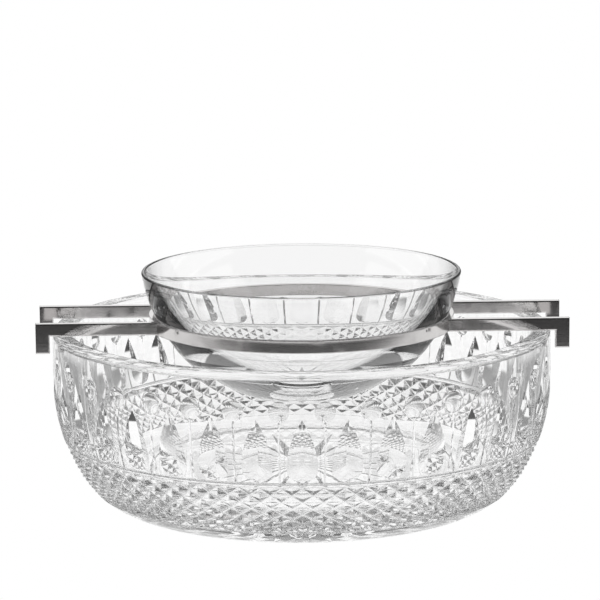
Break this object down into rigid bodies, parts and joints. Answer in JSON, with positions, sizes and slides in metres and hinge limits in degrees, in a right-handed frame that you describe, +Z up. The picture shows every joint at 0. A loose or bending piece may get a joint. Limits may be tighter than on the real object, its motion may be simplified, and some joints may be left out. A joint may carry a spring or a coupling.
{
  "type": "caviar server",
  "caption": "Clear glass caviar bowl held by a plated ring and hooked flat bars over a cut crystal ice bowl.",
  "frame": {"origin": "middle of the ice bowl's foot, at the height of the table", "axes": "+Z up through both bowls, +X along the bars to the viewer's right, +Y away from the viewer"},
  "size_m": [0.2542, 0.24, 0.1138],
  "materials": {
    "cut_crystal": "polished cut lead crystal, clear",
    "clear_glass": "polished clear crystal, uncut",
    "plated_metal": "bright plated metal with fine brushing marks"
  },
  "bodies": {
    "root": {"ice_bowl": "cut_crystal", "caviar_bowl": "clear_glass", "holder_ring": "plated_metal", "bar_front_left": "plated_metal", "bar_front_right": "plated_metal", "bar_back_left": "plated_metal", "bar_back_right": "plated_metal"}
  },
  "joints": []
}
